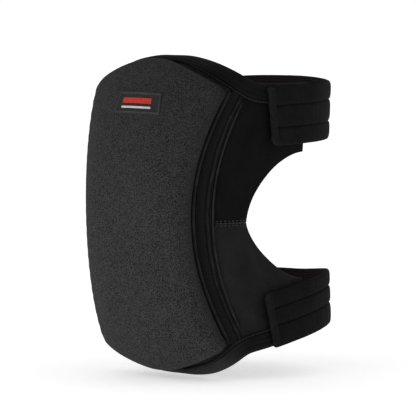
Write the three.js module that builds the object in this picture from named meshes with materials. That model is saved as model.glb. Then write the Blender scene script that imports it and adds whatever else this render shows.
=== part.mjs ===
// A soft work knee pad. A thick padded cushion sits over the kneecap, two neoprene wings reach back along
// the leg, and two ribbed elastic straps close behind the leg with hook-and-loop ends.
// Millimetres, +Z up. The cushion faces -Y, the leg runs along Z, and the strap ends close on the +X side.
// Every layer is a slab laid over one leg surface: a place on it is a polar angle in degrees from the
// front (-Y) towards +X, a height, and an offset outward from the skin side of the fabric.
import * as THREE from "three";

const { clamp, degToRad, lerp, smoothstep } = THREE.MathUtils;

// The leg surface, which is the skin side of the wings and the lining.
const FRONT_DEPTH = 79; // from the leg's axis to the front, at the crown
const BACK_DEPTH = 71;
const WAIST_HALF_WIDTH = 63; // at the darts, where the wings are pinched in
const FLARE = 5; // how much wider it is at the straps
const FLARE_REACH = 80;
const CREASE_SOFTNESS = 0.12;
const CROWN_HEIGHT = 125; // the cushion's most forward height
const CROWN_RADIUS = 190; // of the curve that bends the pad back above and below it
const END_CURL = 3; // how much further back the top and bottom edges curl
const FRONT_SQUARENESS = 3; // superellipse exponents of the plan section
const BACK_SQUARENESS = 2.25;

// The outline of the fabric.
const PAD_TOP = 236;
const PAD_BOTTOM = 4;
const WING_TOP = 215.5;
const DART_HEIGHT = 117;
const WING_END = 107.5; // degrees
const TOP_ARCH = [69, 3.1]; // degrees by which the top edge has nearly fallen to the wing, and its exponent
const BOTTOM_ARCH = [60.5, 4.7];
const SEAM_AT_WAIST = 31.5; // degrees: the cushion's side seam
const SEAM_AT_ENDS = 54;
const SEAM_MIDDLE = 121;
const SEAM_REACH = 98;
const SEAM_CURVE = 2.1;
const WING_START = 1.5; // degrees behind the seam
const PIPING_LINE = 1.1;
const TAPE_START = 2.3;
const TAPE_END = 8.3;
const REAR_PIPING_LINE = 9.2;
const CUTOUT_START = 59.5; // degrees: the deepest point of the notch behind the knee
const NOTCH_UP = [53, 1.88]; // how far it has opened at the wing's end, and its superellipse exponent
const NOTCH_DOWN = [45, 1.6];

// The straps.
// Each strap's middle height at the leg's axis, its slope towards the back, its extra height right at the
// back, half its width, and how far its free end slants, in degrees.
const UPPER_STRAP = { height: 196.3, slope: 0.035, back: 2, half: 20.7, slant: 1.7 };
const LOWER_STRAP = { height: 46.8, slope: 0.185, back: -8, half: 19.8, slant: 3.1 };
const STRAP_END = 76; // degrees: the free end, over the right wing
const PEEL_LINE = 128; // where the free end starts to lift
const SWING_LINE = -108; // where the strap leaves the left wing
const ROOT_START = -84;
const PATCH_END = 102;
const BINDING_DEGREES = 4;

const LABEL_HEIGHT = 195.5;
const LABEL_MIDDLE = 4.5; // degrees
const LABEL_HALF_DEGREES = 16.5;
const LABEL_HALF_HEIGHT = 6.9;

// Thicknesses and offsets.
const GAP = 0.4;
const HEM_GAP = 1.1;
const HEM_MARGIN = 4.9; // between a hem and what stands up beside it
const LINING = 1.2;
const WING = 4;
const COVER = 1.5;
const COMFORT_TOP = 8;
const CUSHION = 25;
const SIDE_ROUNDING = 13;
const END_ROUNDING = 15;
const END_THINNING = 0.24; // how much thinner the cushion is at its ends
const HEM_AT_MIDDLE = 4.5; // the cushion bulges over it there
const HEM_AT_WING = 12.2;
const TAPE = 1.2;
const HEM_FLAT = 4; // the cover's height in the margins under the hems
const RIB_DEPTH = 1.2;
const PATCH_TOP = WING + GAP + TAPE;
const HOOK_TOP = PATCH_TOP + GAP + TAPE;
const STRAP = 3.3;
const KNEELING_FLAT = 1.2; // how far the front is pressed flat
const DEGREE_MM = 1.36; // arc length of one degree near the seams

const wrapped = (deg) => deg - 360 * Math.round(deg / 360);
const full = (deg) => (deg < 0 ? deg + 360 : deg);
const degreesFromFront = (deg) => Math.abs(wrapped(deg));

// How near a height is to an end of the pad: 1 at its top, -1 at its bottom.
function endShare(z) {
  const above = z - CROWN_HEIGHT;
  return above / (above > 0 ? PAD_TOP - CROWN_HEIGHT : CROWN_HEIGHT - PAD_BOTTOM);
}

const recede = (z) => (z - CROWN_HEIGHT) ** 2 / (2 * CROWN_RADIUS) + END_CURL * endShare(z) ** 6;

function legPoint(deg, z) {
  const angle = degToRad(deg);
  const behind = smoothstep(degreesFromFront(deg), 70, 125);
  const power = lerp(FRONT_SQUARENESS, BACK_SQUARENESS, behind);
  const rise = (z - DART_HEIGHT) / FLARE_REACH;
  const halfWidth = WAIST_HALF_WIDTH + FLARE * (Math.hypot(rise, CREASE_SOFTNESS) - CREASE_SOFTNESS);
  const depth = Math.cos(angle) > 0 ? FRONT_DEPTH - recede(z) : BACK_DEPTH;
  const across = Math.abs(Math.sin(angle)) / halfWidth;
  const along = Math.abs(Math.cos(angle)) / depth;
  const radius = (across ** power + along ** power) ** (-1 / power);
  return new THREE.Vector3(radius * Math.sin(angle), -radius * Math.cos(angle), z);
}

function tangents(deg, z) {
  const step = 0.05;
  const around = legPoint(deg + step, z).sub(legPoint(deg - step, z)).divideScalar(2 * step);
  const up = legPoint(deg, z + step).sub(legPoint(deg, z - step)).divideScalar(2 * step);
  return { around, up, out: around.clone().cross(up).normalize() };
}

const onLeg = (deg, z, offset) => legPoint(deg, z).addScaledVector(tangents(deg, z).out, offset);

// A strap's middle height at an angle round the leg.
function strapHeight(strap, deg) {
  const around = full(deg);
  const back = smoothstep(around, 125, 180) * (1 - smoothstep(around, 200, 250));
  return strap.height + strap.slope * legPoint(deg, strap.height).y + strap.back * back;
}

function arch(deg, [end, power]) {
  const rise = (degreesFromFront(deg) / end) ** power;
  return rise / (1 + rise ** 4) ** 0.25;
}

const topEdge = (deg) => lerp(PAD_TOP, WING_TOP, arch(deg, TOP_ARCH));

function bottomEdge(deg) {
  const wing = strapHeight(LOWER_STRAP, deg) - LOWER_STRAP.half;
  return lerp(PAD_BOTTOM, wing, arch(deg, BOTTOM_ARCH));
}

const hemWidth = (deg) => lerp(HEM_AT_MIDDLE, HEM_AT_WING, smoothstep(degreesFromFront(deg), 5, 52));

// How far up or down a hem reaches from a sloping edge.
function hemReach(edge, deg) {
  const slope = (edge(deg + 1) - edge(deg - 1)) / (2 * DEGREE_MM);
  return hemWidth(deg) * Math.hypot(1, slope);
}

const belowHem = (deg) => topEdge(deg) - hemReach(topEdge, deg) - HEM_MARGIN;
const aboveHem = (deg) => bottomEdge(deg) + hemReach(bottomEdge, deg) + HEM_MARGIN;

function seamAngle(z) {
  const share = Math.min(Math.abs(z - SEAM_MIDDLE) / SEAM_REACH, 1);
  return lerp(SEAM_AT_WAIST, SEAM_AT_ENDS, share ** SEAM_CURVE);
}

// The cushion's height over the leg surface: round at the side seams, with a flat hem above and below.
function cushionHeight(deg, z, inset, flat) {
  const side = (seamAngle(z) - Math.abs(deg)) * DEGREE_MM - inset;
  const top = belowHem(deg) - inset - z;
  const bottom = z - aboveHem(deg) - inset;
  const round = (t) => (1 - (1 - clamp(t, 0, 1)) ** 2.2) ** (1 / 2.2);
  const rise = round(side / SIDE_ROUNDING) * round(top / END_ROUNDING) * round(bottom / END_ROUNDING);
  const thinned = 1 - END_THINNING * endShare(z) ** 4;
  return flat + (CUSHION - inset - flat) * thinned * rise;
}

// A closed slab between two sheets, each a function of u and v from 0 to 1.
function slab(outer, inner, columns, rows) {
  const points = [];
  for (const sheet of [outer, inner])
    for (let j = 0; j <= rows; j++)
      for (let i = 0; i <= columns; i++) points.push(sheet(i / columns, j / rows));
  const back = (columns + 1) * (rows + 1);
  const at = (i, j) => j * (columns + 1) + i;
  const faces = [];
  const quad = (a, b, c, d) => faces.push(a, b, c, a, c, d);
  for (let j = 0; j < rows; j++)
    for (let i = 0; i < columns; i++) {
      quad(at(i, j), at(i + 1, j), at(i + 1, j + 1), at(i, j + 1));
      quad(back + at(i, j), back + at(i, j + 1), back + at(i + 1, j + 1), back + at(i + 1, j));
    }
  const rim = [];
  for (let i = 0; i < columns; i++) rim.push(at(i, 0));
  for (let j = 0; j < rows; j++) rim.push(at(columns, j));
  for (let i = columns; i > 0; i--) rim.push(at(i, rows));
  for (let j = rows; j > 0; j--) rim.push(at(0, j));
  rim.forEach((a, k) => {
    const b = rim[(k + 1) % rim.length];
    quad(a, back + a, back + b, b);
  });
  return solid(points, faces);
}

function solid(points, faces) {
  const geometry = new THREE.BufferGeometry().setFromPoints(points);
  geometry.setIndex(faces);
  geometry.computeVertexNormals();
  return geometry;
}

// A slab over a patch of the leg surface, between two offsets that may vary over it.
function layer(patch, from, to, columns, rows) {
  const sheet = (offset) => (u, v) => {
    const [deg, z] = patch(u, v);
    return onLeg(deg, z, typeof offset === "function" ? offset(deg, z) : offset);
  };
  return slab(sheet(to), sheet(from), columns, rows);
}

// A patch with four curved sides, each a function that gives [degrees, height].
function coons(bottom, top, left, right) {
  const corner = [bottom(0), bottom(1), top(0), top(1)];
  return (u, v) =>
    [0, 1].map((k) => {
      const ruled = lerp(bottom(u)[k], top(u)[k], v) + lerp(left(v)[k], right(v)[k], u);
      return ruled - lerp(lerp(corner[0][k], corner[1][k], u), lerp(corner[2][k], corner[3][k], u), v);
    });
}

// A solid swept along a line on the leg. Its section at an angle is a list of [inset, offset], where the
// inset is measured across the line, to its left as seen from outside.
function sweep(line, section, steps) {
  const points = [];
  for (let i = 0; i <= steps; i++) {
    const t = i / steps;
    const [deg, z] = line(t);
    const before = line(Math.max(t - 1e-3, 0));
    const after = line(Math.min(t + 1e-3, 1));
    const { around, up, out } = tangents(deg, z);
    const run = around.clone().multiplyScalar(after[0] - before[0]).addScaledVector(up, after[1] - before[1]);
    const across = out.clone().cross(run.normalize());
    const rise = across.dot(up) / up.lengthSq();
    const turn = across.addScaledVector(up, -rise).dot(around) / around.lengthSq();
    for (const [inset, offset] of section(deg))
      points.push(onLeg(deg + turn * inset, z + rise * inset, offset));
  }
  const flat = section(line(0)[0]);
  const count = flat.length;
  const faces = [];
  for (let i = 0; i < steps; i++)
    for (let j = 0; j < count; j++) {
      const a = i * count + j;
      const b = i * count + ((j + 1) % count);
      faces.push(a, b, b + count, a, b + count, a + count);
    }
  const caps = THREE.ShapeUtils.triangulateShape(flat.map(([x, y]) => new THREE.Vector2(x, y)), []);
  for (const [a, b, c] of caps) {
    faces.push(a, c, b);
    faces.push(steps * count + a, steps * count + b, steps * count + c);
  }
  return solid(points, faces);
}

// A binding's section: a folded tape round an edge that lies between two offsets.
function fold(inside, outside, width) {
  const [low, high] = [inside - HEM_GAP, outside + HEM_GAP];
  const start = -HEM_GAP - TAPE;
  const middle = width / 2;
  return [
    [start, low - TAPE],
    [middle, low - TAPE],
    [width, low - TAPE],
    [width, low],
    [middle, low],
    [-HEM_GAP, low],
    [-HEM_GAP, high],
    [middle, high],
    [width, high],
    [width, high + TAPE],
    [middle, high + TAPE],
    [start, high + TAPE],
  ];
}

const MATERIALS = {
  cover: { color: 0x2b2b2c, roughness: 0.9 },
  foam: { color: 0x3a3a3c, roughness: 0.95 },
  comfort: { color: 0x55565a, roughness: 0.95 },
  lining: { color: 0x17181a, roughness: 0.9 },
  neoprene: { color: 0x121213, roughness: 0.75 },
  tape: { color: 0x161617, roughness: 0.65 },
  elastic: { color: 0x141415, roughness: 0.7 },
  loop: { color: 0x101011, roughness: 0.98 },
  hook: { color: 0x1c1d16, roughness: 0.6 },
  label: { color: 0x2f3032, roughness: 0.5 },
  thread: { color: 0x242426, roughness: 0.6 },
};

const pad = new THREE.Group();

function add(name, look, geometry) {
  const material = new THREE.MeshStandardMaterial({ metalness: 0, ...MATERIALS[look] });
  const mesh = new THREE.Mesh(geometry, material);
  mesh.name = name;
  pad.add(mesh);
  return mesh;
}

// The cushion: a cover over two foams, on the lining. Rows and columns crowd towards the rounded edges.
const crowded = (t) => t - 0.085 * Math.sin(2 * Math.PI * t);

const COVER_COLUMNS = 20;
const COVER_ROWS = 28;

function cushionSide(sign) {
  return (v) => {
    const z = lerp(bottomEdge(SEAM_AT_ENDS), topEdge(SEAM_AT_ENDS), v);
    return [sign * seamAngle(z), z];
  };
}

function cushionEnd(v, edge) {
  return (u) => {
    const deg = lerp(-1, 1, u) * cushionSide(1)(v)[0];
    return [deg, edge(deg)];
  };
}

const cushion = coons(cushionEnd(0, bottomEdge), cushionEnd(1, topEdge), cushionSide(-1), cushionSide(1));
const coverPatch = (u, v) => cushion(crowded(u), crowded(v));

// The part of the cushion that lies some of the cover's columns and rows inside its edges.
function inside(columns, rows) {
  const [a, b] = [columns / COVER_COLUMNS, rows / COVER_ROWS];
  return (u, v) => coverPatch(lerp(a, 1 - a, u), lerp(b, 1 - b, v));
}

// Wings, split along the dart, with the notch behind the knee between them.
function notch(sign, height, curve) {
  const share = 0.3;
  return (u) => {
    if (u < share) {
      const start = seamAngle(DART_HEIGHT) + WING_START;
      return [lerp(start, CUTOUT_START, u / share), DART_HEIGHT + (sign * GAP) / 2];
    }
    const turn = ((u - share) / (1 - share)) * (Math.PI / 2);
    const back = 1 - Math.max(Math.cos(turn), 0) ** (2 / curve);
    const rise = Math.sin(turn) ** (2 / curve);
    return [lerp(CUTOUT_START, WING_END, back), DART_HEIGHT + sign * (GAP / 2 + height * rise)];
  };
}

function wingPatch(lowEdge, highEdge) {
  const [startLow, startHigh] = [lowEdge(0)[1], highEdge(0)[1]];
  const [endLow, endHigh] = [lowEdge(1)[1], highEdge(1)[1]];
  const seam = (v) => {
    const z = lerp(startLow, startHigh, v);
    return [seamAngle(z) + WING_START, z];
  };
  return coons(lowEdge, highEdge, seam, (v) => [WING_END, lerp(endLow, endHigh, v)]);
}

function hemLine(edge) {
  return (u) => {
    const deg = lerp(SEAM_AT_ENDS + WING_START, WING_END, u);
    return [deg, edge(deg)];
  };
}

const upperWing = wingPatch(notch(1, ...NOTCH_UP), hemLine(topEdge));
const lowerWing = wingPatch(hemLine(bottomEdge), notch(-1, ...NOTCH_DOWN));

// Strips that follow the side seam between the two hems, and the cords along them.
function seamStrip(front, rear) {
  const heights = (behind) => [aboveHem(SEAM_AT_ENDS + behind), belowHem(SEAM_AT_ENDS + behind)];
  const side = (behind) => (v) => {
    const z = lerp(...heights(behind), v);
    return [seamAngle(z) + behind, z];
  };
  const end = (v) => (u) => [0, 1].map((k) => lerp(side(front)(v)[k], side(rear)(v)[k], u));
  return coons(end(0), end(1), side(front), side(rear));
}

// A stitched welt along the dart.
function dartSeam(sign) {
  const from = seamAngle(DART_HEIGHT) + REAR_PIPING_LINE + 1;
  const line = (t) => [sign * lerp(from, CUTOUT_START - 0.6, t), DART_HEIGHT];
  return sweep(line, () => round(0.7, WING + GAP + 0.7), 4);
}

const mirrored = (patch) => (u, v) => {
  const [deg, z] = patch(1 - u, v);
  return [-deg, z];
};

function round(radius, offset) {
  const sides = 6;
  return Array.from({ length: sides }, (_, k) => {
    const turn = (2 * Math.PI * (k + 0.5)) / sides;
    return [radius * Math.cos(turn), offset + radius * Math.sin(turn)];
  });
}

function seamCord(sign, behind, radius, offset) {
  const low = aboveHem(SEAM_AT_ENDS + behind) + 1.5;
  const high = belowHem(SEAM_AT_ENDS + behind) - 1.5;
  const line = (t) => {
    const z = lerp(low, high, t);
    return [sign * (seamAngle(z) + behind), z];
  };
  return sweep(line, () => round(radius, offset), 24);
}

// The straps, by continuous angle from the free end over the right wing, round the back, to the left wing.
const STRAP_INSIDE_RIGHT = HOOK_TOP + GAP;
const STRAP_INSIDE_LEFT = WING + HEM_GAP + TAPE + GAP;

function strapInside(deg) {
  return lerp(STRAP_INSIDE_RIGHT, STRAP_INSIDE_LEFT, smoothstep(full(deg), PEEL_LINE, full(SWING_LINE)));
}

function strapPatch(strap, from, to, low = -1, high = 1) {
  return (u, v) => {
    const across = lerp(low, high, v);
    const along = lerp(from, to, u);
    const share = clamp((PEEL_LINE - along) / (PEEL_LINE - STRAP_END), 0, 1);
    const deg = along - strap.slant * across * share;
    return [deg, strapHeight(strap, deg) + across * strap.half];
  };
}

// Three padded ribs run along a strap.
function strapOutside(strap) {
  return (deg, z) => {
    const across = (z - strapHeight(strap, deg)) / strap.half;
    const rib = Math.abs(Math.sin(1.5 * Math.PI * (across + 1)));
    return strapInside(deg) + STRAP - RIB_DEPTH * (1 - Math.sqrt(rib));
  };
}

const HINGE_GAP = 0.18; // degrees each side of a fold line

function strapPiece(strap, from, to, columns) {
  return layer(strapPatch(strap, from, to), strapInside, strapOutside(strap), columns, 9);
}

function addStrap(level, strap) {
  const swing = full(SWING_LINE);
  const patchLow = strap === LOWER_STRAP ? -0.25 : -0.86;
  const patchHigh = strap === LOWER_STRAP ? 0.86 : 0.25;
  const patch = strapPatch(strap, STRAP_END + 1.5, PATCH_END, patchLow, patchHigh);
  const hook = strapPatch(strap, STRAP_END + 0.4, PATCH_END, patchLow, patchHigh);
  const tip = strapPatch(strap, STRAP_END - BINDING_DEGREES, STRAP_END - 0.3);
  add(`${level}_loop_patch`, "loop", layer(patch, WING + GAP, PATCH_TOP, 6, 2));
  add(`${level}_hook_patch`, "hook", layer(hook, PATCH_TOP + GAP, HOOK_TOP, 6, 2));
  add(`${level}_strap_end`, "elastic", strapPiece(strap, STRAP_END, PEEL_LINE - HINGE_GAP, 11));
  add(`${level}_strap`, "elastic", strapPiece(strap, PEEL_LINE + HINGE_GAP, swing - HINGE_GAP, 24));
  add(`${level}_strap_root`, "elastic", strapPiece(strap, swing + HINGE_GAP, full(ROOT_START), 5));
  add(`${level}_end_binding`, "tape", layer(tip, HOOK_TOP, STRAP_INSIDE_RIGHT + STRAP, 2, 8));
}

const underCover = (deg, z) => cushionHeight(deg, z, COVER, HEM_FLAT - COVER);
const overCover = (lift) => (deg, z) => cushionHeight(deg, z, 0, HEM_FLAT) + lift;
const cover = layer(coverPatch, underCover, overCover(0), COVER_COLUMNS, COVER_ROWS);
const coreTop = (deg, z) => underCover(deg, z) - GAP;
const core = layer(inside(3, 5), COMFORT_TOP + GAP, coreTop, COVER_COLUMNS - 6, COVER_ROWS - 10);

// The front is worn flat where it kneels.
function pressFlat(geometry) {
  const at = geometry.getAttribute("position");
  const flat = KNEELING_FLAT - FRONT_DEPTH - CUSHION;
  for (let i = 0; i < at.count; i++) at.setY(i, Math.max(at.getY(i), flat));
  return geometry;
}

add("front_cover", "cover", pressFlat(cover));
add("foam_core", "foam", core);
add("comfort_foam", "comfort", layer(inside(3, 5), LINING + 2 * GAP, COMFORT_TOP, 9, 10));
add("inner_lining", "lining", layer(coverPatch, 0, LINING, 14, 18));

for (const [side, sign] of [["right", 1], ["left", -1]]) {
  const facing = (patch) => (sign > 0 ? patch : mirrored(patch));
  add(`${side}_wing_upper`, "neoprene", layer(facing(upperWing), 0, WING, 14, 9));
  add(`${side}_wing_lower`, "neoprene", layer(facing(lowerWing), 0, WING, 14, 8));
  const tape = facing(seamStrip(TAPE_START, TAPE_END));
  add(`${side}_seam_tape`, "tape", layer(tape, WING + GAP, WING + GAP + TAPE, 2, 24));
  add(`${side}_front_piping`, "tape", seamCord(sign, PIPING_LINE, 1.1, WING + 1.6));
  add(`${side}_rear_piping`, "tape", seamCord(sign, REAR_PIPING_LINE, 0.8, WING + GAP + 0.8));
  add(`${side}_dart_seam`, "thread", dartSeam(sign));
}

const across = (edge, from, to) => (t) => [lerp(from, to, t), edge(lerp(from, to, t))];
const hemSection = (deg) => fold(0, WING, hemWidth(deg));
add("top_binding", "tape", sweep(across(topEdge, WING_END, -WING_END), hemSection, 48));
add("bottom_binding", "tape", sweep(across(bottomEdge, -WING_END, WING_END), hemSection, 48));

const labelPatch = (u, v) => [
  LABEL_MIDDLE + lerp(-1, 1, u) * LABEL_HALF_DEGREES,
  LABEL_HEIGHT + lerp(-1, 1, v) * LABEL_HALF_HEIGHT,
];
add("label", "label", layer(labelPatch, overCover(GAP), overCover(GAP + TAPE), 8, 4));

addStrap("upper", UPPER_STRAP);
addStrap("lower", LOWER_STRAP);

// The frame: the middle of the footprint, on the floor.
const box = new THREE.Box3().setFromObject(pad, true);
const middle = box.getCenter(new THREE.Vector3());
pad.position.set(-middle.x, -middle.y, -box.min.z);

export default pad;
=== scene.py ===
"""The looks of a soft work knee pad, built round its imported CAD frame.

Every layer lies on one leg surface, as in the CAD: a place on it is a polar angle in degrees from the
front (-Y) towards +X, a height, and an offset outward from the skin side. Those sizes are millimetres
from the leg's axis, and to_frame() turns them into the frame's metres.
"""

import math
from collections import namedtuple

import bmesh
import bpy
import numpy as np
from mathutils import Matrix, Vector
from mathutils.bvhtree import BVHTree


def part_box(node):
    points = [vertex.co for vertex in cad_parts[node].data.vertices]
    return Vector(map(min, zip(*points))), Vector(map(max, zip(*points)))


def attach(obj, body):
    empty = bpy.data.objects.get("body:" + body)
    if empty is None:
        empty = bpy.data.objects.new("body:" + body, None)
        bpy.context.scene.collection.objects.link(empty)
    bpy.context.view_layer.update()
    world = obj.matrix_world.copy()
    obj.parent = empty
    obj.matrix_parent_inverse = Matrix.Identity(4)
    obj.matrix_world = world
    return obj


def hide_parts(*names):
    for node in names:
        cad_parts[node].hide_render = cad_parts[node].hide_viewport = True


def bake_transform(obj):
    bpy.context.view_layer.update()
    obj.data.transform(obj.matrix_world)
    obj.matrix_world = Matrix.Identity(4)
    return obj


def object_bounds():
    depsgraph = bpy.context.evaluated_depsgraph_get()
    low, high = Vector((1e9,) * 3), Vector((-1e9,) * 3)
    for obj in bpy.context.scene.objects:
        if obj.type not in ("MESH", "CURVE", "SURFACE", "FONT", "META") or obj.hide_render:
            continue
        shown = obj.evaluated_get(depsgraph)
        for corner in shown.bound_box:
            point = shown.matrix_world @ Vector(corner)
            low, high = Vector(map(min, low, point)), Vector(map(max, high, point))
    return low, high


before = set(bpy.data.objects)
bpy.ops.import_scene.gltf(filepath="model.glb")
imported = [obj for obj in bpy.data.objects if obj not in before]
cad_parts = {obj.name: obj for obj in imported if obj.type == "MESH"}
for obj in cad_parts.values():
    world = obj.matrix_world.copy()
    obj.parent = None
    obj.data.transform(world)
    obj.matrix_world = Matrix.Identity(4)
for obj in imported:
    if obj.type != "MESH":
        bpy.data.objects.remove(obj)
CAD_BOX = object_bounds()

# ---------------------------------------------------------------- driving sizes, close to the CAD's

# The leg surface: a superellipse in plan, wider above and below the dart, whose front recedes at both ends.
FRONT_DEPTH = 79
BACK_DEPTH = 71
WAIST_HALF_WIDTH = 63
FLARE = 5
FLARE_REACH = 80
CREASE_SOFTNESS = 0.12
CROWN_HEIGHT = 125
CROWN_RADIUS = 190
END_CURL = 3
FRONT_SQUARENESS = 3
BACK_SQUARENESS = 2.25
SIDE_TURN = (70, 125)  # degrees over which the front's squareness gives way to the back's
DEGREE_MM = 1.36  # about how far one degree reaches over the front and the sides

# The fabric's outline, in heights and in degrees from the front.
PAD_TOP = 236
PAD_BOTTOM = 4
WING_TOP = 217.4
DART_HEIGHT = 117
DART_OVERLAP = 0.5
WING_END = 107.5
TOP_ARCH = (63.9, 3.8)  # degrees by which the edge has nearly reached the wing's, and its exponent
BOTTOM_ARCH = (60.8, 4.9)
ARCH_SHARPNESS = 8  # how suddenly an arch levels out
LOWER_WING_HALF = 18.3
SEAM_AT_WAIST = 31.5
SEAM_AT_ENDS = 54
SEAM_MIDDLE = 121
SEAM_REACH = 98
SEAM_CURVE = 2.1
CUTOUT_START = 59.5  # the deepest point of the notch behind the knee
NOTCH_UP = (51, 1.85)  # how far it has opened at the wing's end, and its superellipse exponent
NOTCH_DOWN = (45, 1.6)

# Lines along the cushion's side seam, in degrees behind it.
WING_START = -1.0
PIPING_LINE = 0.3
TAPE_START = 1.3
TAPE_END = 8.3
REAR_PIPING_LINE = 9.2
TUCK = 6  # how far the tape and the piping run on under the hems, in millimetres

# Layers from the skin side outward, and the gaps between them.
GAP = 0.4
HEM_GAP = 1.1
LINING = 1.2
WING = 4
HEM_FLAT = 4  # the cushion's height at its sewn rim
COMFORT_TOP = 8
COVER = 1.5
CUSHION = 25
TAPE = 1.2
STRAP = 3.3
PATCH_TOP = WING + GAP + TAPE
HOOK_TOP = PATCH_TOP + GAP + TAPE
STRAP_INSIDE_RIGHT = HOOK_TOP + GAP
STRAP_INSIDE_LEFT = WING + HEM_GAP + TAPE + GAP

# The cushion's shape. The fullness values are exponents: the higher, the fuller the rounding.
SIDE_ROUNDING = 12.5
END_ROUNDING = 15
SIDE_FULLNESS = 2.6
END_FULLNESS = 2.9
CORNER_POWER = 2.75  # how its corners round off, in plan
END_THINNING = 0.24  # how much thinner it is at its ends
OVERHANG_TOP = 6  # how far its stuffed ends bulge over the hems
OVERHANG_BOTTOM = 3
OVERHANG_REACH = (80, 10)  # how far inside the pad's end the bulge starts, and is full
KNEELING_FLAT = 1.2

# The folded hems.
HEM_AT_MIDDLE = 4.5
HEM_AT_WING = 12.2
HEM_WIDENING = (5, 52)  # degrees over which a hem widens
HEM_MARGIN = 3.9

# A strap: its middle height at the leg's axis, its slope towards the back and its extra height there, half its
# width, its free end's slant in degrees, how far it bulges out behind the right wing, the radii of its free
# end's upper and lower corners, and its grooves and patches as places across it, from -1 to 1.
UPPER = {
    "height": 196.0, "slope": 0.035, "back": 2, "half": 21.6, "slant": 1.7, "grooves": (-0.38, 0.38),
    "patch": (-0.86, 0.25), "bulge": 1.2, "corners": (2.2, 6.0),
}
LOWER = {
    "height": 46.8, "slope": 0.185, "back": -8, "half": 20.2, "slant": 3.1, "grooves": (-0.22, 0.41),
    "patch": (-0.25, 0.86), "bulge": 2.4, "corners": (4.0, 3.0),
}

# Angles along a strap, from its free end over the right wing to where it is sewn to the left wing.
STRAP_END = 76
PATCH_END = 102
PEEL_LINE = 128
REAR = 180
SWING_LINE = 252
ROOT_END = 276
BINDING_DEGREES = 4
BACK_START = (125, 180)  # where a strap turns to its height at the back, and from it
BACK_END = (200, 250)

LABEL_HEIGHT = 195.5
LABEL_MIDDLE = 4.5  # degrees
LABEL_HALF_DEGREES = 16.5
LABEL_HALF_HEIGHT = 6.9


def leg_axis():
    """Where the leg's axis and height zero lie in the frame, in millimetres, from the CAD nodes."""
    left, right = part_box("inner_lining")
    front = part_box("front_cover")[0]
    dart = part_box("right_dart_seam")
    x = 500 * (left.x + right.x)
    y = 1000 * front.y + FRONT_DEPTH + CUSHION - KNEELING_FLAT
    z = 500 * (dart[0].z + dart[1].z) - DART_HEIGHT
    return np.array([x, y, z])


AXIS = leg_axis()


def to_frame(points):
    return (np.asarray(points, float) + AXIS) / 1000


# ---------------------------------------------------------------- the leg surface


def lerp(a, b, t):
    return a + (b - a) * t


def smoothstep(x, low, high):
    t = np.clip((x - low) / (high - low), 0, 1)
    return t * t * (3 - 2 * t)


def full(deg):
    return np.mod(deg, 360)


def from_front(deg):
    return np.abs(np.mod(np.asarray(deg, float) + 180, 360) - 180)


def end_share(z):
    """How near a height is to an end of the pad: 1 at its top, -1 at its bottom."""
    above = z - CROWN_HEIGHT
    return above / np.where(above > 0, PAD_TOP - CROWN_HEIGHT, CROWN_HEIGHT - PAD_BOTTOM)


def recede(z):
    """How far the leg's front falls back at a height."""
    return (z - CROWN_HEIGHT) ** 2 / (2 * CROWN_RADIUS) + END_CURL * end_share(z) ** 6


def leg_point(deg, z):
    deg, z = np.broadcast_arrays(np.asarray(deg, float), np.asarray(z, float))
    angle = np.radians(deg)
    power = lerp(FRONT_SQUARENESS, BACK_SQUARENESS, smoothstep(from_front(deg), *SIDE_TURN))
    rise = (z - DART_HEIGHT) / FLARE_REACH
    half_width = WAIST_HALF_WIDTH + FLARE * (np.hypot(rise, CREASE_SOFTNESS) - CREASE_SOFTNESS)
    depth = np.where(np.cos(angle) > 0, FRONT_DEPTH - recede(z), BACK_DEPTH)
    across = np.abs(np.sin(angle)) / half_width
    along = np.abs(np.cos(angle)) / depth
    radius = (across**power + along**power) ** (-1 / power)
    return np.stack([radius * np.sin(angle), -radius * np.cos(angle), z], axis=-1)


def tangents(deg, z):
    step = 0.05
    around = (leg_point(deg + step, z) - leg_point(deg - step, z)) / (2 * step)
    up = (leg_point(deg, z + step) - leg_point(deg, z - step)) / (2 * step)
    out = np.cross(around, up)
    return around, up, out / np.linalg.norm(out, axis=-1, keepdims=True)


def on_leg(deg, z, offset):
    out = tangents(deg, z)[2]
    return leg_point(deg, z) + out * np.asarray(offset, float)[..., None]


def strap_height(strap, deg):
    around = full(deg)
    back = smoothstep(around, *BACK_START) * (1 - smoothstep(around, *BACK_END))
    return strap["height"] + strap["slope"] * leg_point(deg, strap["height"])[..., 1] + strap["back"] * back


def arch(deg, shape):
    """How far an edge has gone from the pad's end, 0, to the wing's level, 1."""
    end, power = shape
    rise = (from_front(deg) / end) ** power
    return rise / (1 + rise**ARCH_SHARPNESS) ** (1 / ARCH_SHARPNESS)


def top_edge(deg):
    return lerp(PAD_TOP, WING_TOP, arch(deg, TOP_ARCH))


def bottom_edge(deg):
    return lerp(PAD_BOTTOM, strap_height(LOWER, deg) - LOWER_WING_HALF, arch(deg, BOTTOM_ARCH))


def hem_width(deg):
    return lerp(HEM_AT_MIDDLE, HEM_AT_WING, smoothstep(from_front(deg), *HEM_WIDENING))


def hem_reach(edge, deg):
    """How far up or down a hem reaches from a sloping edge."""
    slope = (edge(deg + 1) - edge(deg - 1)) / (2 * DEGREE_MM)
    return hem_width(deg) * np.hypot(1, slope)


def below_hem(deg):
    return top_edge(deg) - hem_reach(top_edge, deg) - HEM_MARGIN


def above_hem(deg):
    return bottom_edge(deg) + hem_reach(bottom_edge, deg) + HEM_MARGIN


def seam_angle(z):
    share = np.minimum(np.abs(z - SEAM_MIDDLE) / SEAM_REACH, 1)
    return lerp(SEAM_AT_WAIST, SEAM_AT_ENDS, share**SEAM_CURVE)


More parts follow.
